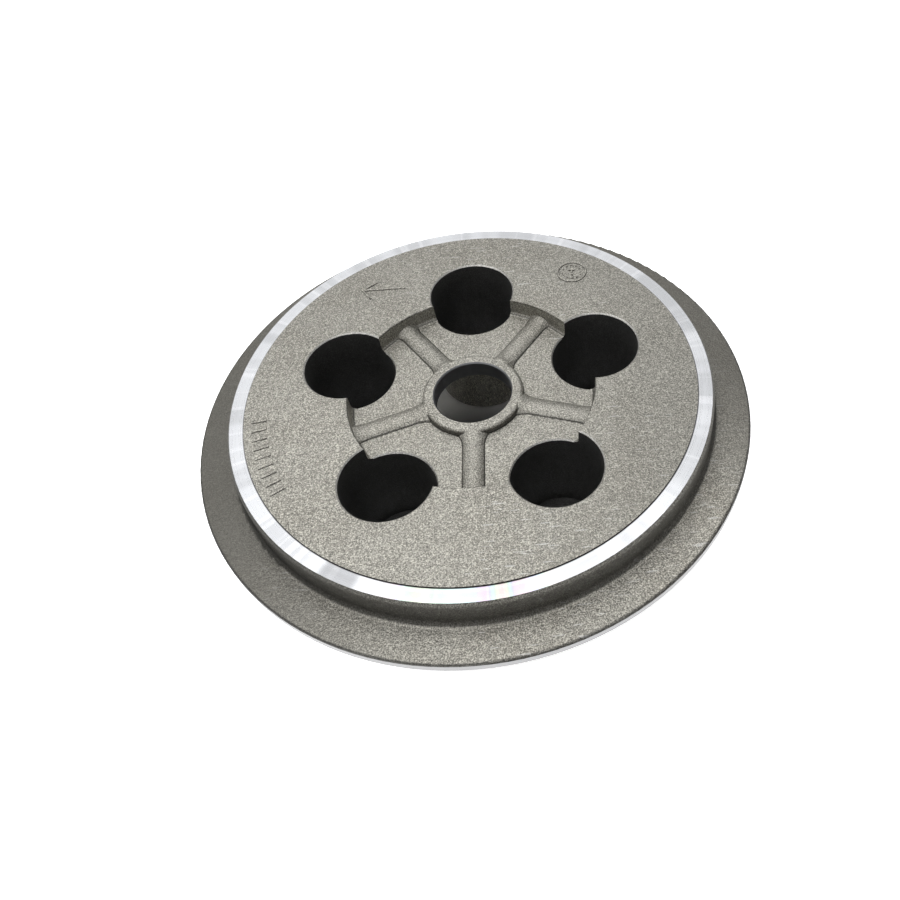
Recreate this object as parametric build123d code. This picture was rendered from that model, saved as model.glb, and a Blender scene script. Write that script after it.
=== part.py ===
"""Clutch pressure plate of a small motorcycle: one die casting in aluminium.

Millimetres, +Z towards the spring side. Heights are measured from the friction
face, the datum of the turned faces. The finished part is then set down with the
feet of its spring cups at Z 0, so its origin is on the bore's axis, in the plane
that it stands on.
"""
from build123d import *
from math import radians, tan
import os

# ---- driving dimensions -----------------------------------------------------
# flange that clamps the discs
flange_diameter = 112.0
flange_thickness = 3.0
flange_cast_round = 0.5
friction_edge_chamfer = 1.0
friction_inner_chamfer = 0.5

# raised platform inside the flange, on a skirt that rises from the friction face
flange_width = 7.65
platform_height = 9.8
platform_edge_round = 1.2
platform_foot_fillet = 1.3
platform_draft = 1.0
platform_thickness = 3.4
skirt_thickness = 3.35

# turned ring on the platform's rim
ring_width = 3.3
ring_depth = 0.25

# recess round the hub
recess_diameter = 49.7
recess_depth = 3.8
recess_floor_fillet = 0.9
recess_edge_round = 0.3
recess_draft = 2.0
web_thickness = 3.4
underside_fillet = 1.2

# hub boss with its turned bore
bore_diameter = 15.7
bore_land_length = 3.7
bore_edge_chamfer = 0.25
hub_diameter = 20.4
hub_drop = 2.2
hub_edge_round = 0.8
hub_draft = 4.0
seat_diameter = 19.6
hub_pad_diameter = 25.0
hub_pad_drop = 0.8

# five spring pockets, each a cup that hangs below the web
pocket_count = 5
pocket_circle_diameter = 53.6
pocket_diameter = 18.0
pocket_depth = 24.4
pocket_draft = 0.8
pocket_floor_chamfer = 0.6
pocket_edge_break = 0.25
cup_wall = 2.1
cup_floor_thickness = 2.6
cup_edge_round = 1.2
cup_root_fillet = 1.5
post_hole_diameter = 11.5
post_hole_chamfer = 0.4

# low round-backed ribs between the pockets, from hub to recess wall
rib_width = 4.5
rib_height = 1.0
rib_flare = 0.55
rib_flare_length = 2.4

# how far a cutter runs past the face it opens
past = 1.0

# ---- heights and radii that follow from them --------------------------------
flange_r = flange_diameter / 2
platform_r = flange_r - flange_width
recess_r = recess_diameter / 2
bore_r = bore_diameter / 2
hub_r = hub_diameter / 2
pocket_circle_r = pocket_circle_diameter / 2
recess_floor = platform_height - recess_depth
web_underside = recess_floor - web_thickness
platform_underside = platform_height - platform_thickness
hub_top = platform_height - hub_drop
bore_land_end = hub_top - bore_land_length
hub_pad_face = web_underside - hub_pad_drop
pocket_floor = platform_height - pocket_depth
cup_foot = pocket_floor - cup_floor_thickness
web_middle = recess_floor - web_thickness / 2
wall_middle_r = recess_r + web_thickness / 2


def drafted(radius, drop, degrees):
    """Radius of a drafted wall at a distance of drop below the height where it measures radius."""
    return radius + drop * tan(radians(degrees))


def step_radius(height):
    """Radius of the drafted step on the underside, between the web and the platform."""
    return drafted(recess_r + web_thickness, height - web_underside, recess_draft)


def section(corners):
    """Closed face through corners given as (radius, height, round); a round of 0 stays sharp."""
    outline = Polyline([(r, z) for r, z, size in corners], close=True)
    face = make_face(outline)
    for r, z, size in corners:
        if size > 0:
            corner = face.vertices().sort_by_distance((r, z))[0]
            face = fillet(corner, size)
    return face


def turned(corners):
    """Solid of revolution about Z of the section through the corners."""
    return revolve(Plane.XZ * section(corners), axis=Axis.Z)


def pocket_places():
    """One place per pocket on the pocket circle, the first at +Y."""
    return PolarLocations(pocket_circle_r, pocket_count, start_angle=90)


# ---- the casting's round form -----------------------------------------------
def plate_body():
    """Hub, recessed web, platform and flange as one turned section, walls drafted."""
    hub_foot_r = drafted(hub_r, hub_top - recess_floor, hub_draft)
    recess_foot_r = drafted(recess_r, -recess_depth, recess_draft)
    wall_foot_r = drafted(platform_r, platform_height - flange_thickness, platform_draft)
    inner_wall_foot_r = platform_r - skirt_thickness
    inner_wall_top_r = drafted(inner_wall_foot_r, -platform_underside, platform_draft)
    pad_r = hub_pad_diameter / 2
    seat_r = seat_diameter / 2
    return turned([
        (bore_r, hub_top - bore_edge_chamfer, 0),
        (bore_r + bore_edge_chamfer, hub_top, 0),
        (hub_r, hub_top, hub_edge_round),
        (hub_foot_r, recess_floor, 0),
        (recess_foot_r, recess_floor, recess_floor_fillet),
        (recess_r, platform_height, recess_edge_round),
        (platform_r, platform_height, platform_edge_round),
        (wall_foot_r, flange_thickness, platform_foot_fillet),
        (flange_r, flange_thickness, flange_cast_round),
        (flange_r, friction_edge_chamfer, 0),
        (flange_r - friction_edge_chamfer, 0, 0),
        (inner_wall_foot_r + friction_inner_chamfer, 0, 0),
        (inner_wall_foot_r, friction_inner_chamfer, 0),
        (inner_wall_top_r, platform_underside, underside_fillet),
        (step_radius(platform_underside), platform_underside, underside_fillet),
        (step_radius(web_underside), web_underside, underside_fillet),
        (pad_r + hub_pad_drop, web_underside, 0),
        (pad_r, hub_pad_face, 0),
        (seat_r, hub_pad_face, 0),
        (seat_r, bore_land_end, 0),
        (bore_r, bore_land_end, 0),
    ])


def turned_ring():
    """What the lathe takes off the platform's rim: a shallow ring that runs out at the cast corner."""
    ring_floor = platform_height - ring_depth
    ring_r = platform_r - ring_width
    return turned([
        (ring_r, ring_floor, 0),
        (ring_r, platform_height + past, 0),
        (platform_r + past, platform_height + past, 0),
        (platform_r + past, ring_floor, 0),
    ])


# ---- spring cups ------------------------------------------------------------
def pocket_radius(height):
    """The drafted pocket's radius at a height; it narrows towards its floor."""
    return drafted(pocket_diameter / 2, height - platform_height, pocket_draft)


def cup_outside():
    """Outer form of one spring cup, from its rounded foot up into the platform."""
    top = platform_height - platform_thickness / 2
    return turned([
        (0, cup_foot, 0),
        (pocket_radius(cup_foot) + cup_wall, cup_foot, cup_edge_round),
        (pocket_radius(top) + cup_wall, top, 0),
        (0, top, 0),
    ])


def mouth_corners(height):
    """Corners of a cutter that opens a pocket at a height and breaks its edge there at 45 degrees."""
    wall_top = height - pocket_edge_break
    return [
        (0, height + past, 0),
        (pocket_radius(wall_top) + pocket_edge_break + past, height + past, 0),
        (pocket_radius(wall_top), wall_top, 0),
    ]


def pocket_edges_in_recess():
    """Cones that break the pockets' edges on the recess's floor, up to the fillet at its wall's foot."""
    cone = turned([*mouth_corners(recess_floor), (0, recess_floor - pocket_edge_break, 0)])
    floor_r = drafted(recess_r, -recess_depth, recess_draft) - recess_floor_fillet
    over_floor = Pos(0, 0, recess_floor) * Cylinder(floor_r, 2 * recess_depth)
    return (Part() + [place * cone for place in pocket_places()]) & over_floor


def pocket_inside():
    """Space inside one cup: the drafted spring pocket and the hole for a hub post in its floor."""
    wall_end = pocket_floor + pocket_floor_chamfer
    hole_r = post_hole_diameter / 2
    chamfer_r = hole_r + post_hole_chamfer
    return turned([
        *mouth_corners(platform_height),
        (pocket_radius(wall_end), wall_end, 0),
        (pocket_radius(wall_end) - pocket_floor_chamfer, pocket_floor, 0),
        (chamfer_r, pocket_floor, 0),
        (hole_r, pocket_floor - post_hole_chamfer, 0),
        (hole_r, cup_foot + post_hole_chamfer, 0),
        (chamfer_r + past, cup_foot - past, 0),
        (0, cup_foot - past, 0),
    ])


def cup_root(face_height):
    """Collar that joins a cup to the face it hangs from by a hollow round."""
    low = face_height - cup_root_fillet
    top = face_height + web_thickness / 2
    wall_r = pocket_radius(low) + cup_wall
    outer_r = wall_r + cup_root_fillet
    outline = [
        Line((0, low), (wall_r, low)),
        CenterArc((outer_r, low), cup_root_fillet, 90, 90),
        Line((outer_r, face_height), (outer_r, top)),
        Line((outer_r, top), (0, top)),
        Line((0, top), (0, low)),
    ]
    return revolve(Plane.XZ * make_face(outline), axis=Axis.Z)


def web_disc():
    """The web's own disc, out to the middle of the step's wall, with an edge that slopes at 45 degrees."""
    low = web_underside - cup_root_fillet - past
    high = web_middle + past
    return turned([
        (0, low, 0),
        (wall_middle_r + low - web_underside, low, 0),
        (wall_middle_r + high - web_underside, high, 0),
        (0, high, 0),
    ])


def out_of_recess(solid):
    """The solid without what would stand in the recess or come through the web's upper half."""
    above_web = Pos(0, 0, web_middle) * Cylinder(
        wall_middle_r, platform_height, align=(Align.CENTER, Align.CENTER, Align.MIN)
    )
    return solid - above_web


def spring_cups():
    """All the cups' outsides, each up into the web and the platform."""
    return out_of_recess(Part() + [place * cup_outside() for place in pocket_places()])


def web_roots():
    """The cups' hollow rounds under the web, which run out before the step."""
    return (Part() + [place * cup_root(web_underside) for place in pocket_places()]) & web_disc()


def platform_roots():
    """The cups' hollow rounds under the platform."""
    return out_of_recess(Part() + [place * cup_root(platform_underside) for place in pocket_places()])


# ---- ribs -------------------------------------------------------------------
def rib():
    """One low rib along +X: a slice of a round bar that swells a little at both of its ends."""
    bar_r = (rib_width**2 / 4 + rib_height**2) / (2 * rib_height)
    start = hub_r - hub_edge_round
    hub_end = hub_r + rib_flare_length
    wall_end = recess_r - rib_flare_length
    stop = wall_middle_r
    back = [
        Line((start, 0), (start, bar_r + rib_flare)),
        Line((start, bar_r + rib_flare), (hub_r, bar_r + rib_flare)),
        TangentArc((hub_end, bar_r), (hub_r, bar_r + rib_flare), tangent=(-1, 0)),
        Line((hub_end, bar_r), (wall_end, bar_r)),
        TangentArc((wall_end, bar_r), (recess_r, bar_r + rib_flare), tangent=(1, 0)),
        Line((recess_r, bar_r + rib_flare), (stop, bar_r + rib_flare)),
        Line((stop, bar_r + rib_flare), (stop, 0)),
        Line((stop, 0), (start, 0)),
    ]
    bar = revolve(Plane.XZ * make_face(back), axis=Axis.X)
    raised = Pos(0, 0, recess_floor + rib_height - bar_r) * bar
    return split(raised, bisect_by=Plane.XY.offset(web_middle), keep=Keep.TOP)


def ribs():
    """A rib half way between each two neighbouring pockets."""
    step = 360 / pocket_count
    return Part() + [Rot(0, 0, 90 + step * (i + 0.5)) * rib() for i in range(pocket_count)]


# ---- the part ---------------------------------------------------------------
def pressure_plate():
    """The finished casting, standing on its cups: cast form first, then what is machined off."""
    cast = plate_body() + spring_cups() + web_roots() + platform_roots() + ribs()
    cast -= [place * pocket_inside() for place in pocket_places()]
    cast -= pocket_edges_in_recess()
    return Pos(0, 0, -cup_foot) * (cast - turned_ring())


os.makedirs("parts", exist_ok=True)
plate = pressure_plate()
plate.label = "pressure_plate"
export_step(plate, "parts/pressure_plate.step")
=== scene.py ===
# %% [markdown]
# # A die-cast clutch pressure plate
#
# The plate is one aluminium casting. It leaves the die with a grey skin, it is
# blasted with fine grit, and a lathe then cleans the faces that have to be true:
# the ring on the platform's rim, the flange's edge, the friction face below and
# the bore. Nothing is fitted to it, so the lesson is about finishes: one solid
# that carries several of them, each with its own grain, tone and gloss.
#
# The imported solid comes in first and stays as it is. Every size below is in
# metres, in the solid's own frame, which stands on its spring cups at Z 0.

# %% Load the solid
from math import cos, radians, sin, tau

import bpy
import numpy as np
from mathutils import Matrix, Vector


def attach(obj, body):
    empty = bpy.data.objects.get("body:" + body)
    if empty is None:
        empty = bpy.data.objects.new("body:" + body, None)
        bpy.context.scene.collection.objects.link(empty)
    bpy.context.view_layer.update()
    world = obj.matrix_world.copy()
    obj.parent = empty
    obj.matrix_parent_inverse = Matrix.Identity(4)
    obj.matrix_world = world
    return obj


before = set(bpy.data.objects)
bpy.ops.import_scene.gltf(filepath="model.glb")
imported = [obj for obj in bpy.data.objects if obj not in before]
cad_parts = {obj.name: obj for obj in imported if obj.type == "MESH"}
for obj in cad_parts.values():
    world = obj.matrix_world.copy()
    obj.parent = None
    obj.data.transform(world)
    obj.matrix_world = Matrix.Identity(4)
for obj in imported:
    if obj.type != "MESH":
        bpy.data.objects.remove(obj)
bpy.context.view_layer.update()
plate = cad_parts["pressure_plate"]


# %% [markdown]
# ## The sizes that the finishes follow
#
# A finish starts and stops at an edge that a tool made: the lathe's ring ends at
# the step it cut, a drilled hole's wall ends at its chamfer. The edges are
# therefore named once here, with the radius or the height that each one has on
# the finished casting, and every later cell picks its faces by these names.

# %% Name the edges
MM = 0.001

# heights above the feet of the cups
UP = 17.2 * MM                  # friction face
LAND_END = UP + 3.9 * MM        # underside of the bore's land
FLANGE_TOP = UP + 3.0 * MM
FACE = UP + 9.8 * MM            # the platform's cast face
RING_FLOOR = FACE - 0.25 * MM   # turned ring
HUB_TOP = FACE - 2.2 * MM
RECESS_FLOOR = FACE - 3.8 * MM
POCKET_FLOOR = FACE - 24.4 * MM

# radii from the bore's axis
BORE = 7.85 * MM
SEAT = 9.8 * MM                 # release seat under the hub
HUB_FOOT = 10.3 * MM
RECESS_EDGE = 24.85 * MM
POCKET_CIRCLE = 26.8 * MM
SKIRT_INNER = 45.0 * MM
RING_INNER = 45.05 * MM
RING_OUTER = 47.9 * MM          # where the cast corner cuts the turned ring off
RIM = 56.0 * MM                 # outside of the flange
RIM_CHAMFER = 1.0 * MM

# radii from a pocket's axis
POST_HOLE = 5.75 * MM
POCKET = 9.0 * MM
FIRST_POCKET, POCKET_TURN, POCKET_COUNT = 90, 72, 5     # degrees


def on_circle(radius, degrees):
    """The point of a circle round the bore's axis at an angle from the X axis."""
    return radius * cos(radians(degrees)), radius * sin(radians(degrees))


POCKETS = [on_circle(POCKET_CIRCLE, FIRST_POCKET + POCKET_TURN * i) for i in range(POCKET_COUNT)]
print(len(POCKETS), "pockets on a circle of", round(POCKET_CIRCLE * 2000, 1), "mm")

# %% [markdown]
# ## Node trees in few words
#
# A finish is a small node tree that reads Object coordinates, so its grain has a
# real size and stays on the metal when the view moves. Built link by link such a
# tree is hard to read. This helper adds a node, sets its values and plugs its
# inputs in one call, which leaves the finish cells short.

# %% A helper for material nodes
MIX_SHARE, MIX_FIRST, MIX_SECOND, MIX_COLOUR = 0, 6, 7, 2   # a Mix node's sockets when it mixes colours


class Finish:
    """One material and the few calls that build its tree."""

    def __init__(self, name, colour, metallic=1.0, roughness=0.5, **shader):
        self.material = bpy.data.materials.new(name)
        self.material.use_nodes = True
        self.tree = self.material.node_tree
        self.shader = self.tree.nodes["Principled BSDF"]
        self.shader.inputs["Base Color"].default_value = (*colour, 1.0)
        self.shader.inputs["Metallic"].default_value = metallic
        self.shader.inputs["Roughness"].default_value = roughness
        for socket, value in shader.items():
            self.shader.inputs[socket.replace("_", " ")].default_value = value
        self.material.diffuse_color = (*colour, 1.0)
        self.where = self.node("ShaderNodeTexCoord").outputs["Object"]

    def node(self, kind, inputs=None, **settings):
        """A node with its settings made, and each input set or plugged in."""
        made = self.tree.nodes.new(kind)
        for key, value in settings.items():
            setattr(made, key, value)
        for socket, value in (inputs or {}).items():
            if isinstance(value, bpy.types.NodeSocket):
                self.tree.links.new(value, made.inputs[socket])
            else:
                made.inputs[socket].default_value = value
        return made

    def sum(self, operation, a, b=0.0):
        """One arithmetic step on numbers or sockets."""
        return self.node("ShaderNodeMath", {0: a, 1: b}, operation=operation).outputs[0]

    def fade(self, value, start, end, low=0.0, high=1.0):
        """Runs smoothly from low to high while value goes from start to end."""
        ends = {"Value": value, "From Min": start, "From Max": end, "To Min": low, "To Max": high}
        return self.node("ShaderNodeMapRange", ends, interpolation_type="SMOOTHSTEP").outputs["Result"]

    def noise(self, scale, detail=2.0, roughness=0.5, vector=None, distortion=0.0):
        """Soft three-dimensional noise, in features per metre."""
        inputs = {"Vector": vector or self.where, "Scale": scale, "Detail": detail}
        inputs.update({"Roughness": roughness, "Distortion": distortion})
        return self.node("ShaderNodeTexNoise", inputs).outputs["Fac"]

    def mix(self, share, a, b, blend="MIX"):
        """Two colours mixed by a share."""
        first, second = (c if isinstance(c, bpy.types.NodeSocket) else (*c, 1.0) for c in (a, b))
        inputs = {MIX_SHARE: share, MIX_FIRST: first, MIX_SECOND: second}
        return self.node("ShaderNodeMix", inputs, data_type="RGBA", blend_type=blend).outputs[MIX_COLOUR]

    def bump(self, height, distance, strength=1.0, under=None):
        """Raises the surface by a height pattern; under is the bump it lies on."""
        inputs = {"Height": height, "Distance": distance, "Strength": strength}
        if under is not None:
            inputs["Normal"] = under
        return self.node("ShaderNodeBump", inputs).outputs["Normal"]

    def plug(self, **sockets):
        """Feeds the shader: Base_Color=..., Roughness=..., Normal=..."""
        for socket, value in sockets.items():
            self.tree.links.new(value, self.shader.inputs[socket.replace("_", " ")])


def part_of(finish, vector, axis):
    """A vector's reach along X, Y or Z."""
    return finish.node("ShaderNodeSeparateXYZ", {0: vector}).outputs[axis]


def along(finish, vector, bearing):
    """How far a vector reaches towards a bearing, in degrees from the X axis."""
    towards = (*on_circle(1.0, bearing), 0.0)
    reach = finish.node("ShaderNodeVectorMath", {0: vector, 1: towards}, operation="DOT_PRODUCT")
    return reach.outputs["Value"]


def flat(finish):
    """The place on the metal, dropped straight down to the plane Z 0."""
    level = {0: finish.where, 1: (1.0, 1.0, 0.0)}
    return finish.node("ShaderNodeVectorMath", level, operation="MULTIPLY").outputs[0]


def from_axis(finish):
    """Distance from the bore's axis, for shading that follows a round edge."""
    return finish.node("ShaderNodeVectorMath", {0: flat(finish)}, operation="LENGTH").outputs["Value"]


def scaled(tone, share):
    """A darker tone, or a lighter one where the share is above 1."""
    return tuple(c * share for c in tone)


# %% [markdown]
# ## The camera
#
# The plate's middle is seen from 48 degrees up and from close by, so the near
# flange is wide and the far one narrow. The camera is set by its place and its
# turn rather than by a point to look at. The lens itself points 52 degrees down
# and is shifted a little, because the plate doesn't lie on the lens's own axis.

# %% Set the camera
camera = bpy.data.objects.new("camera", bpy.data.cameras.new("camera"))
bpy.context.scene.collection.objects.link(camera)
camera.location = (0.01785, -0.11310, 0.15380)
camera.rotation_euler = (radians(37.940), radians(2.703), radians(-3.868))
camera.data.lens = 33.87
camera.data.sensor_width = 36.0
camera.data.shift_x = -0.1313
camera.data.shift_y = -0.0206
camera.data.clip_start = 0.005
bpy.context.scene.camera = camera
print("camera", round(camera.location.length * 1000), "mm from the origin")

# %% [markdown]
# ## A pale floor
#
# A matt white floor keeps every colour in the metal honest, and the polished
# faces mirror it. A lit floor alone stays a little grey, so this one also glows
# from about the cups outwards, and that glow is painted light which lifts the
# plate's shadow round it. Under the middle it doesn't glow, and its colour there
# is painted dark as shade, since the floor that shows through the bore lies in
# the plate's own shade.

# %% Lay the floor
floor_mesh = bpy.data.meshes.new("floor")
half = 3.0
floor_corners = [(-half, -half, 0), (half, -half, 0), (half, half, 0), (-half, half, 0)]
floor_mesh.from_pydata(floor_corners, [], [(0, 1, 2, 3)])
floor = bpy.data.objects.new("floor", floor_mesh)
bpy.context.scene.collection.objects.link(floor)
pale, shaded = (0.95, 0.95, 0.95), (0.12, 0.12, 0.12)
white = Finish("floor_white", pale, metallic=0.0, roughness=0.9, Emission_Color=(1, 1, 1, 1))
# The glow is painted light that lifts the plate's shadow; the dark middle is painted shade.
white.plug(
    Emission_Strength=white.fade(from_axis(white), 37.0 * MM, 50.0 * MM, 0.0, 0.75),
    Base_Color=white.mix(white.fade(from_axis(white), 12.0 * MM, 22.0 * MM), shaded, pale),
)
floor_mesh.materials.append(white.material)
print("floor", floor.dimensions[0], "m wide")

# %% [markdown]
# ## Soft studio light
#
# Metal shows what is round it. A wide soft box above the plate gives the flat
# faces their even tone and lights the turned ring, and two weaker ones stand
# behind it and to its left. The room's tone comes from the direction alone: dark
# low down and paler overhead, and a little darker to the right. A pale band near
# the horizon stands for the floor's far end, which low views would otherwise see
# as a dark edge.

# %% Set the lights
def soft_box(name, place, size, power, aim=(0, 0, 20.0 * MM)):
    """A rectangular area light that points at the plate; its power is in watts."""
    light = bpy.data.lights.new(name, "AREA")
    light.shape = "RECTANGLE"
    light.size, light.size_y = size
    light.energy = power
    lamp = bpy.data.objects.new(name, light)
    bpy.context.scene.collection.objects.link(lamp)
    lamp.location = place
    lamp.rotation_euler = (Vector(aim) - Vector(place)).to_track_quat("-Z", "Y").to_euler()


soft_box("top_box", (-0.10, 0.05, 0.75), (0.9, 0.7), 3.95)
soft_box("back_box", (-0.05, 0.62, 0.50), (0.7, 0.4), 0.7)
soft_box("left_box", (-0.55, -0.10, 0.45), (0.4, 0.5), 0.25)

room = bpy.data.worlds.new("room")
bpy.context.scene.world = room
room.use_nodes = True
nodes, links = room.node_tree.nodes, room.node_tree.links
direction = nodes.new("ShaderNodeSeparateXYZ")
links.new(nodes.new("ShaderNodeTexCoord").outputs["Generated"], direction.inputs[0])


def wall_tone(axis, start, end, low, high):
    """The room's tone, from low to high while the direction's X or Z goes from start to end."""
    tone = nodes.new("ShaderNodeMapRange")
    tone.interpolation_type = "SMOOTHSTEP"
    for socket, value in (("From Min", start), ("From Max", end), ("To Min", low), ("To Max", high)):
        tone.inputs[socket].default_value = value
    links.new(direction.outputs[axis], tone.inputs["Value"])
    return tone.outputs["Result"]


def joined(operation, a, b):
    """Two tones of the room made into one."""
    made = nodes.new("ShaderNodeMath")
    made.operation = operation
    links.new(a, made.inputs[0])
    links.new(b, made.inputs[1])
    return made.outputs[0]


overhead = wall_tone("Z", 0.05, 0.75, 0.10, 0.66)
sideways = wall_tone("X", -0.3, 0.8, 1.05, 0.62)
horizon = wall_tone("Z", 0.06, 0.30, 0.92, 0.0)
room_tone = joined("MAXIMUM", joined("MULTIPLY", overhead, sideways), horizon)
links.new(room_tone, nodes["Background"].inputs["Strength"])
nodes["Background"].inputs["Color"].default_value = (1, 1, 1, 1)
bpy.context.scene.view_settings.view_transform = "Standard"
print("three soft boxes and a pale room")

# %% [markdown]
# ## Blasted cast skin
#
# Grit blasting leaves a die casting evenly dull, with dimples a few tenths of a
# millimetre wide that catch the light one by one. Two sizes of noise raise the
# surface, the finer one also speckles its tone, and a broad, faint one shifts it
# from grey to a warm grey. Handling adds a few short scratches.
#
# A casting isn't the same tone all over, and here shade is painted into it too.
# Creases are painted darker, as shade with some dirt, and a thin dark line of
# painted shade runs along the foot of the hub and the recess's edge. The tone
# also falls off slowly towards some sides as painted shade, which is easier to
# place by a bearing from the bore than by moving lights about.

# %% What a cast skin is made of
# Painted shade in corners and creases, with some dirt, takes this colour.
DIRT_AND_PAINTED_SHADE = (0.03, 0.03, 0.028)      # what stays in corners
BARE = (0.85, 0.85, 0.84)       # metal that a scratch lays open
GRAIN_PER_METRE = 4500.0
DIMPLES_PER_METRE = 1500.0
RELIEF = 0.14 * MM              # depth of the grain and of the dimples
SPECKLE = 0.78                  # how far the grain changes the tone


def scratches(skin, turn, patches_per_metre=34.0):
    """Sparse short scratches: noise drawn out along one direction, kept where a patch allows it."""
    stretch = {0: skin.where, "Rotation": (0, 0, radians(turn)), "Scale": (0.10, 1.0, 0.3)}
    drawn = skin.node("ShaderNodeMapping", stretch).outputs[0]
    hairs = skin.noise(2600.0, detail=0.0, vector=drawn, distortion=0.25)
    patch = skin.noise(patches_per_metre, detail=1.0, distortion=0.6)
    return skin.sum("MULTIPLY", skin.fade(hairs, 0.735, 0.80), skin.fade(patch, 0.54, 0.60))


def painted_crease_shade(skin, level, reach):
    """Painted shade, with some dirt, where a wall or a rib rises from a flat at a level, for a reach above
    it.
    """
    height = part_of(skin, skin.where, "Z")
    normal = skin.node("ShaderNodeTexCoord").outputs["Normal"]
    leaning = skin.fade(part_of(skin, normal, "Z"), 0.80, 0.97, 1.0, 0.0)
    above = skin.fade(height, level + reach * 0.5, level + reach, 1.0, 0.0)
    not_below = skin.fade(height, level - 0.1 * MM, level - 0.05 * MM)
    return skin.sum("MULTIPLY", leaning, skin.sum("MULTIPLY", above, not_below))


def painted_shade_line(skin, radius, bottom, top, share):
    """A hair-thin circle of painted shade round the bore's axis, drawn only between two heights."""
    off_line = skin.sum("ABSOLUTE", skin.sum("SUBTRACT", from_axis(skin), radius))
    height = part_of(skin, skin.where, "Z")
    below_top = skin.fade(height, top, top + 0.1 * MM, 1.0, 0.0)
    above_bottom = skin.fade(height, bottom - 0.1 * MM, bottom)
    band = skin.sum("MULTIPLY", below_top, above_bottom)
    return skin.sum("MULTIPLY", skin.fade(off_line, 0.04 * MM, 0.20 * MM, share, 0.0), band)


# %% Make the cast skins
def cast_skin(
    name, tone, warm, grain=1.0, size=1.0, rough=0.5,
    scratched=0.0, dark_rim=None, creases=None, shades=(), lines=(),
):
    """Dull blasted aluminium that wavers between two tones.

    grain is its strength and size its width; dark_rim is a radius where painted
    shade starts to darken it and one where it is dark; creases is a level and a
    reach of painted shade; a shade is painted shade: a bearing, where along it the
    tone starts and stops to fall, and how far; a line is a thin line of painted
    shade: a radius, a bottom, a top and how dark it is.
    """
    skin = Finish(name, tone, roughness=rough)
    fine = skin.noise(GRAIN_PER_METRE / size, detail=1.0, roughness=0.6)
    dimples = skin.noise(DIMPLES_PER_METRE / size, detail=1.0)
    patches = skin.noise(60.0, detail=5.0, roughness=0.65)
    dark, light, speckle = scaled(tone, 0.3), scaled(tone, 2.1), SPECKLE * grain
    colour = skin.mix(skin.fade(patches, 0.35, 0.7), tone, warm)
    colour = skin.mix(skin.fade(fine, 0.33, 0.5, speckle, 0.0), colour, dark)
    colour = skin.mix(skin.fade(fine, 0.52, 0.68, 0.0, speckle), colour, light)
    if scratched:
        scraped = skin.sum("MAXIMUM", scratches(skin, 38.0), scratches(skin, -64.0, 27.0))
        colour = skin.mix(skin.sum("MULTIPLY", scraped, scratched), colour, BARE)
    # Each shade darkens the tone towards a bearing as painted shade.
    for bearing, start, end, share in shades:
        colour = skin.mix(skin.fade(along(skin, skin.where, bearing), start, end, 0.0, share), colour, dark)
    # Each line is a thin ring of painted shade.
    for line in lines:
        colour = skin.mix(painted_shade_line(skin, *line), colour, DIRT_AND_PAINTED_SHADE)
    # Creases get painted shade, with some dirt, at the feet of walls and ribs.
    if creases:
        colour = skin.mix(skin.sum("MULTIPLY", painted_crease_shade(skin, *creases), 0.72), colour, DIRT_AND_PAINTED_SHADE)
    # The dark rim is painted shade on the flange's rounded outer edge.
    if dark_rim:
        colour = skin.mix(skin.fade(from_axis(skin), *dark_rim, 0.0, 0.75), colour, (0.03, 0.03, 0.03))
    skin.plug(
        Base_Color=colour,
        Normal=skin.bump(fine, RELIEF, grain, under=skin.bump(dimples, RELIEF, 0.5 * grain)),
        Roughness=skin.fade(fine, 0.3, 0.7, rough - 0.06, rough + 0.1),
    )
    return skin.material


GREY, WARM_GREY = (0.365, 0.355, 0.320), (0.315, 0.303, 0.268)
# On this skin the creases, the lines and the shades are painted shade: at the feet of the hub, the ribs and
# the recess's wall, along the hub's foot and the recess's edge, and towards the right and the back.
blasted = cast_skin(
    "blasted_cast_skin", GREY, WARM_GREY,
    scratched=0.4,
    creases=(RECESS_FLOOR, 0.34 * MM),
    shades=[(0, 0.0, 45.0 * MM, 0.30), (110, 0.0, 45.0 * MM, 0.24)],
    lines=[
        (HUB_FOOT, RECESS_FLOOR, HUB_TOP - 0.5 * MM, 0.65),
        (RECESS_EDGE, FACE - 0.3 * MM, FACE + 1.0 * MM, 0.45),
    ],
)
# The creases at the marks' feet are painted shade.
mark_skin = cast_skin("raised_mark_skin", GREY, WARM_GREY, creases=(FACE, 0.2 * MM))
# On the flange the dark rim, the creases that darken the platform's outer wall far up from the flange, and
# the shades towards the left and the right-back are all painted shade.
flange_skin = cast_skin(
    "flange_cast_skin", (0.350, 0.339, 0.304), (0.297, 0.282, 0.246),
    size=1.1,
    scratched=0.35,
    dark_rim=(55.4 * MM, 55.9 * MM),
    creases=(FLANGE_TOP, 9.5 * MM),
    shades=[(180, -2.0 * MM, 54.0 * MM, 0.85), (30, 20.0 * MM, 52.0 * MM, 0.80)],
)
# The pockets' dark tone is painted shade for their deep insides.
pocket_painted_shade = cast_skin(
    "shaded_pocket_skin", (0.11, 0.11, 0.108), (0.085, 0.085, 0.082), grain=0.5, rough=0.6
)
# The pockets' broken edges are paler, a painted highlight with some wear, and glossier.
wear_and_painted_highlight = cast_skin(
    "worn_edge_painted_highlight", (0.62, 0.61, 0.58), (0.52, 0.51, 0.48), grain=0.5, rough=0.34
)
# The small step wall at the ring's inner edge is painted dark as shade.
step_wall = cast_skin(
    "step_wall_painted_shade", (0.05, 0.045, 0.045), (0.04, 0.036, 0.036), grain=0.3, rough=0.6
)
cast_skins = [blasted, mark_skin, flange_skin, pocket_painted_shade, wear_and_painted_highlight, step_wall]
print("cast skins:", *(material.name for material in cast_skins))

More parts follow.
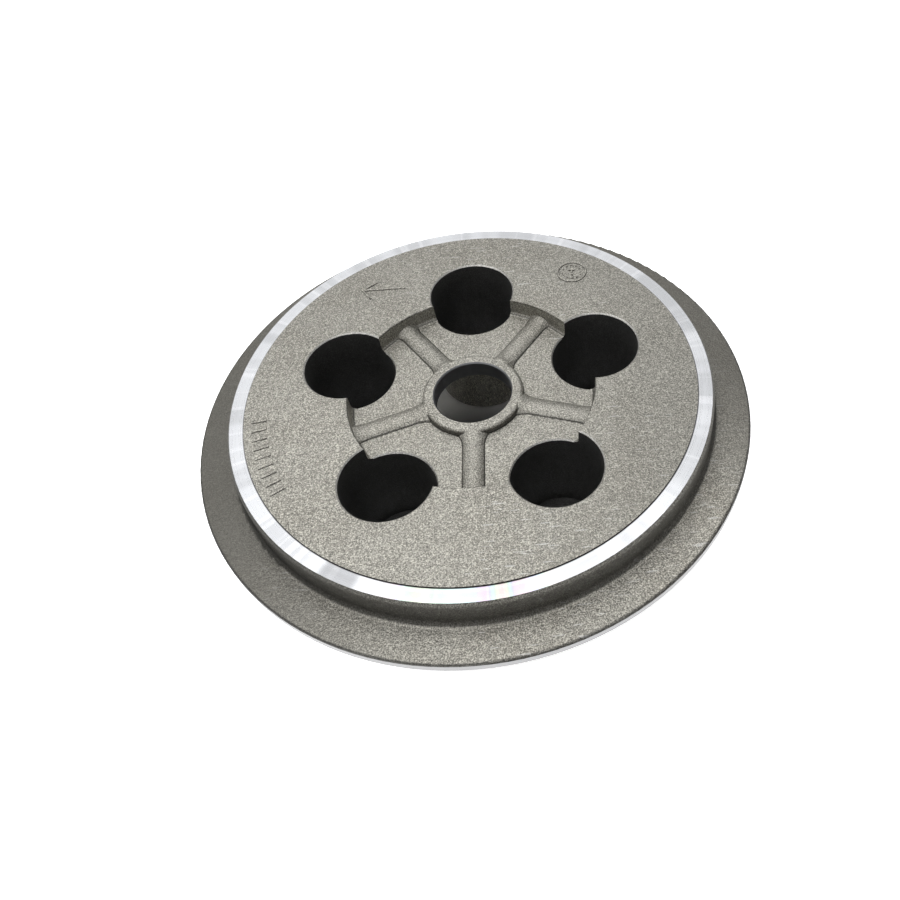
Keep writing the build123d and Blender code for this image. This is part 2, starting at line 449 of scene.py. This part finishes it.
# %% [markdown]
# ## Turned faces
#
# A lathe tool leaves fine circular grooves. They are far narrower than a pixel,
# so what shows of them is a streak of light that runs across the grooves. The
# shader's own anisotropy makes that streak, and a noise that changes only with
# the distance from the axis gives the rings of slightly different gloss that a
# real cut has.
#
# The ring on the rim is the brightest cut. Its light breaks into streaks from
# the bore outwards, which are painted into its colour as painted reflections, so
# their noise changes only with the bearing. Towards the front they are painted
# faintly coloured, a painted sheen for the light that fine grooves split, and one
# is painted dark as a painted dark reflection.

# %% Make the turned faces
def turned_face(name, tone, rough):
    """Bright turned aluminium with grooves round the bore's axis."""
    face = Finish(name, tone, roughness=rough, Anisotropic=0.6)
    place = {0: from_axis(face), 1: part_of(face, face.where, "Z"), 2: 0.0}
    groove_place = face.node("ShaderNodeCombineXYZ", place).outputs[0]
    grooves = face.noise(9000.0, detail=2.0, vector=groove_place)
    face.plug(
        Roughness=face.fade(grooves, 0.3, 0.7, rough - 0.06, rough + 0.08),
        Normal=face.bump(grooves, 0.006 * MM, 0.5),
        Tangent=face.node("ShaderNodeTangent", direction_type="RADIAL", axis="Z").outputs[0],
    )
    return face


def painted_streak_colour(face, tone, play):
    """A turned face's colour with painted reflections in streaks from the bore outwards, a painted coloured
    sheen towards the front and one painted dark reflection; play is how far the streaks differ.
    """
    bearing = face.node("ShaderNodeVectorMath", {0: flat(face)}, operation="NORMALIZE").outputs[0]
    streaks = face.noise(5.0, detail=2.0, roughness=0.6, vector=bearing)
    fine_streaks = face.noise(26.0, detail=1.0, vector=bearing)
    hue = face.fade(face.noise(13.0, detail=0.0, vector=bearing), 0.25, 0.75)
    tint = face.node("ShaderNodeCombineColor", {0: hue, 1: 0.22, 2: 1.0}, mode="HSV").outputs[0]
    # A painted coloured sheen towards the front, and one painted dark reflection.
    front_painted_sheen = face.fade(along(face, bearing, 270), 0.93, 0.985, 0.0, 0.8)
    painted_dark_reflection = face.fade(along(face, bearing, 241), 0.9955, 0.9985, 0.0, 0.55)
    # Painted reflections: darker and lighter streaks in the ring's colour.
    colour = face.mix(face.fade(streaks, 0.42, 0.55, play, 0.0), tone, scaled(tone, 0.6))
    colour = face.mix(face.fade(fine_streaks, 0.56, 0.66, 0.0, 0.5 * play), colour, (0.9, 0.9, 0.92))
    colour = face.mix(front_painted_sheen, colour, tint, "MULTIPLY")
    return face.mix(painted_dark_reflection, colour, (0.12, 0.12, 0.125))


RING_TONE = (0.58, 0.59, 0.61)
ring_face = turned_face("turned_ring", RING_TONE, 0.29)
# A thin band of painted shade darkens the ring next to that step.
step_shade_band = ring_face.fade(from_axis(ring_face), 45.16 * MM, 45.34 * MM, 0.9, 0.0)
ring_colour = painted_streak_colour(ring_face, RING_TONE, 0.4)
ring_face.plug(Base_Color=ring_face.mix(step_shade_band, ring_colour, (0.02, 0.018, 0.018)))
turned_ring = ring_face.material
turned_rim = turned_face("turned_rim", (0.34, 0.34, 0.345), 0.35).material
turned_bore = turned_face("turned_bore", (0.26, 0.265, 0.28), 0.36).material
print("turned faces:", turned_ring.name, turned_rim.name, turned_bore.name)

# %% [markdown]
# ## One finish for each face
#
# The solid comes as loose triangles, none of which crosses an edge of the part.
# So a whole triangle belongs to one finish, and three corners are enough to say
# which: their distance from the bore's axis or from the nearest pocket's, and
# their height. How far a triangle faces up tells a broken edge from a wall.
# Where two rules cover a triangle, the later one holds.

# %% Measure the triangles
corners = np.zeros(len(plate.data.vertices) * 3, np.float32)
plate.data.vertices.foreach_get("co", corners)
loops = np.zeros(len(plate.data.polygons) * 3, np.int32)
plate.data.polygons.foreach_get("vertices", loops)
triangles = corners.reshape(-1, 3).astype(float)[loops].reshape(-1, 3, 3)
east, north, height = np.moveaxis(triangles, 2, 0)
radius = np.hypot(east, north)
to_pocket = np.min([np.hypot(east - x, north - y) for x, y in POCKETS], axis=0)
facing = np.cross(triangles[:, 1] - triangles[:, 0], triangles[:, 2] - triangles[:, 0])
TINY = 1e-18                    # keeps a triangle without area from dividing by nought
upward = facing[:, 2] / np.maximum(np.linalg.norm(facing, axis=1), TINY)
wall = upward < 0.4
slanted = (upward > 0.4) & (upward < 0.9)
print("triangles:", len(triangles), "walls or undersides:", int(wall.sum()), "slanted:", int(slanted.sum()))

# %% Give each face its finish
NEAR = 0.03 * MM                # how far a corner may lie off an edge and still count as on it


def all_in(values, low, high):
    """True for each triangle whose three corners lie between low and high."""
    return ((values > low - NEAR) & (values < high + NEAR)).all(axis=1)


def from_pocket(outer, low, high, inner=0.0):
    """The triangles between two distances from a pocket's axis and two heights."""
    return all_in(to_pocket, inner, outer) & all_in(height, low, high)


def from_bore(inner, outer, low, high):
    """The triangles between two distances from the bore's axis and two heights."""
    return all_in(radius, inner, outer) & all_in(height, low, high)


rules = [
    # insides of the pockets in painted shade, their broken edges in a painted highlight with some wear, and
    # their walls again up to the recess's floor in painted shade
    (pocket_painted_shade, from_pocket(POCKET + 0.05 * MM, 1.0 * MM, FACE - 0.2 * MM)),
    (wear_and_painted_highlight, slanted & from_pocket(POCKET + 0.3 * MM, RECESS_FLOOR - 0.3 * MM, FACE, POCKET - 0.2 * MM)),
    (pocket_painted_shade, wall & from_pocket(POCKET + 0.4 * MM, 1.0 * MM, RECESS_FLOOR)),
    # flange and the platform's outer wall, turned ring, the small step at its inner edge in painted shade
    (flange_skin, from_bore(RING_OUTER - 0.1 * MM, RIM, FLANGE_TOP - 0.6 * MM, RING_FLOOR)),
    (turned_ring, from_bore(RING_INNER, RING_OUTER, RING_FLOOR, FACE)),
    (step_wall, from_bore(RING_INNER, RING_INNER, RING_FLOOR, FACE)),
    # the flange's edge and the friction face
    (turned_rim, from_bore(RIM - RIM_CHAMFER, RIM, UP, FLANGE_TOP - 0.5 * MM)),
    (turned_rim, from_bore(SKIRT_INNER, RIM, UP, UP + 0.5 * MM)),
    # the bore, the release seat and the post holes
    (turned_bore, from_bore(BORE, BORE + 0.3 * MM, LAND_END, HUB_TOP)),
    (turned_bore, from_bore(BORE, SEAT, LAND_END - 3.0 * MM, LAND_END)),
    (turned_bore, from_pocket(POST_HOLE + 0.6 * MM, 0.0, POCKET_FLOOR)),
]
finishes = [blasted, pocket_painted_shade, turned_ring, turned_rim, turned_bore, flange_skin, wear_and_painted_highlight, step_wall]
plate.data.materials.clear()
for finish in finishes:
    plate.data.materials.append(finish)
slot = np.zeros(len(triangles), np.int32)
for finish, chosen in rules:
    slot[chosen] = finishes.index(finish)
plate.data.polygons.foreach_set("material_index", slot)
plate.data.update()
print({finish.name: int((slot == i).sum()) for i, finish in enumerate(finishes)})

# %% [markdown]
# ## Raised casting marks
#
# Foundries cut marks into the die, which stand proud on the casting: here a row
# of bars that counts the cavity, a dial that dates the die and an arrow for
# setting the plate on its hub. They are bare signs without letters. Each kind is
# a few strokes repeated round an arc or a bead drawn along lines, so Geometry
# Nodes make them: one small stroke is turned to every point of an arc, and a
# round profile is swept along edges. The sizes are the trees' named inputs. A
# mark is a round bar squashed to its rise and half sunk, so it leaves no gap.

# %% A helper that builds a Geometry Nodes tree
class Tree:
    """A tree with geometry in and out and named inputs, and the few calls that build it."""

    SHARED = {"Width": "Float", "Rise": "Float", "Place": "Vector", "Finish": "Material"}

    def __init__(self, name, inputs):
        self.group = bpy.data.node_groups.new(name, "GeometryNodeTree")
        interface = self.group.interface
        interface.new_socket("Geometry", in_out="OUTPUT", socket_type="NodeSocketGeometry")
        interface.new_socket("Geometry", in_out="INPUT", socket_type="NodeSocketGeometry")
        for socket, kind in {**inputs, **self.SHARED}.items():
            interface.new_socket(socket, in_out="INPUT", socket_type="NodeSocket" + kind)
        self.given = self.group.nodes.new("NodeGroupInput").outputs

    def step(self, kind, inputs=None, **settings):
        """One node with its settings made and its inputs set or plugged; returns its first output."""
        made = self.group.nodes.new(kind)
        for key, value in settings.items():
            setattr(made, key, value)
        for socket, value in (inputs or {}).items():
            if isinstance(value, bpy.types.NodeSocket):
                self.group.links.new(value, made.inputs[socket])
            else:
                made.inputs[socket].default_value = value
        return made.outputs[0]

    def sum(self, operation, a, b):
        """One arithmetic step on numbers or sockets."""
        return self.step("ShaderNodeMath", {0: a, 1: b}, operation=operation)

    def round_bar(self, path):
        """A bar as wide as the stroke, swept along a path."""
        half = self.sum("MULTIPLY", self.given["Width"], 0.5)
        outline = self.step("GeometryNodeCurvePrimitiveCircle", {"Resolution": 12, "Radius": half})
        swept = {"Curve": path, "Profile Curve": outline, "Fill Caps": True}
        return self.step("GeometryNodeCurveToMesh", swept)

    def finish(self, shape):
        """Flattens the shape to its rise, puts it in place, makes it real and gives it its finish."""
        half = self.sum("MULTIPLY", self.given["Width"], 0.5)
        flatter = self.sum("DIVIDE", self.given["Rise"], half)
        scale = self.step("ShaderNodeCombineXYZ", {0: 1.0, 1: 1.0, 2: flatter})
        low = self.step("GeometryNodeTransform", {"Geometry": shape, "Scale": scale})
        put = self.step("GeometryNodeTransform", {"Geometry": low, "Translation": self.given["Place"]})
        real = self.step("GeometryNodeRealizeInstances", {"Geometry": put})
        done = self.step("GeometryNodeSetMaterial", {"Geometry": real, "Material": self.given["Finish"]})
        self.group.links.new(done, self.group.nodes.new("NodeGroupOutput").inputs[0])


# %% Strokes that stand outwards on an arc
arc_inputs = {"Radius": "Float", "Start": "Float", "Sweep": "Float", "Count": "Int", "Length": "Float"}
strokes = Tree("strokes_on_arc", arc_inputs)
given = strokes.given
angles = {"Start Angle": given["Start"], "Sweep Angle": given["Sweep"]}
arc = strokes.step("GeometryNodeCurveArc", {"Resolution": 64, "Radius": given["Radius"], **angles})
points = strokes.step("GeometryNodeCurveToPoints", {"Curve": arc, "Count": given["Count"]}, mode="COUNT")
spot = strokes.group.nodes.new("ShaderNodeSeparateXYZ")
strokes.group.links.new(strokes.step("GeometryNodeInputPosition"), spot.inputs[0])
turn = strokes.sum("ARCTAN2", spot.outputs["Y"], spot.outputs["X"])
outward = strokes.step("ShaderNodeCombineXYZ", {2: turn})
reach = strokes.sum("MULTIPLY", given["Length"], 0.5)
ends = {
    "Start": strokes.step("ShaderNodeCombineXYZ", {0: strokes.sum("MULTIPLY", reach, -1.0)}),
    "End": strokes.step("ShaderNodeCombineXYZ", {0: reach}),
}
stroke = strokes.round_bar(strokes.step("GeometryNodeCurvePrimitiveLine", ends))
placed = {"Points": points, "Instance": stroke, "Rotation": outward}
strokes.finish(strokes.step("GeometryNodeInstanceOnPoints", placed))
print("tree:", strokes.group.name)

# %% A bead that follows drawn lines
bead = Tree("bead_on_lines", {})
bead.finish(bead.round_bar(bead.step("GeometryNodeMeshToCurve", {"Mesh": bead.given["Geometry"]})))
print("tree:", bead.group.name)

# %% A helper that grows a piece
def grown(name, tree, values, points=(), edges=()):
    """A plain mesh grown by a tree, from points and edges on the plane Z 0 where it needs them."""
    seed = bpy.data.objects.new(name + "_seed", bpy.data.meshes.new(name + "_seed"))
    seed.data.from_pydata([(x, y, 0.0) for x, y in points], list(edges), [])
    bpy.context.scene.collection.objects.link(seed)
    modifier = seed.modifiers.new("grow", "NODES")
    modifier.node_group = tree.group
    for socket in tree.group.interface.items_tree:
        if socket.in_out == "INPUT" and socket.name in values:
            modifier[socket.identifier] = values[socket.name]
    depsgraph = bpy.context.evaluated_depsgraph_get()
    mesh = bpy.data.meshes.new_from_object(seed.evaluated_get(depsgraph), depsgraph=depsgraph)
    mesh.name = name
    bpy.data.objects.remove(seed)
    piece = bpy.data.objects.new(name, mesh)
    bpy.context.scene.collection.objects.link(piece)
    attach(piece, "root")
    print(name, len(mesh.polygons), "faces")


on_face = {"Rise": 0.26 * MM, "Finish": mark_skin}

# %% The row of bars
bars = {"Radius": 42.0 * MM, "Start": radians(187), "Sweep": radians(25), "Count": 9}
bars.update({"Length": 2.9 * MM, "Width": 0.85 * MM, "Place": (0.0, 0.0, FACE)})
grown("cavity_bars", strokes, {**bars, **on_face})

# %% The dial: dots, a ring round them and a hand
DIAL = (22.4 * MM, 30.9 * MM, FACE)
dots = {"Radius": 2.1 * MM, "Start": 0.0, "Sweep": radians(330), "Count": 12}
dots.update({"Length": 0.1 * MM, "Width": 0.5 * MM, "Place": DIAL})
grown("date_dial_dots", strokes, {**dots, **on_face})

CORNERS = 48
ring = [(3.1 * MM * cos(tau * i / CORNERS), 3.1 * MM * sin(tau * i / CORNERS)) for i in range(CORNERS)]
hand = [(0.0, -1.1 * MM), (0.0, 1.1 * MM), (-0.55 * MM, 0.45 * MM), (0.55 * MM, 0.45 * MM)]
ring_edges = [(i, (i + 1) % CORNERS) for i in range(CORNERS)]
hand_edges = [(CORNERS + start, CORNERS + 1) for start in (0, 2, 3)]
dial = {**on_face, "Width": 0.45 * MM, "Place": DIAL}
grown("date_dial_ring", bead, dial, ring + hand, ring_edges + hand_edges)

# %% The arrow
tail, tip = (-14.8 * MM, 30.1 * MM), (-24.2 * MM, 30.3 * MM)
barbs = [(-21.2 * MM, 32.6 * MM), (-22.2 * MM, 27.4 * MM)]
arrow = {**on_face, "Width": 0.5 * MM, "Place": (0.0, 0.0, FACE)}
grown("setting_arrow", bead, arrow, [tail, tip, *barbs], [(0, 1), (2, 1), (3, 1)])
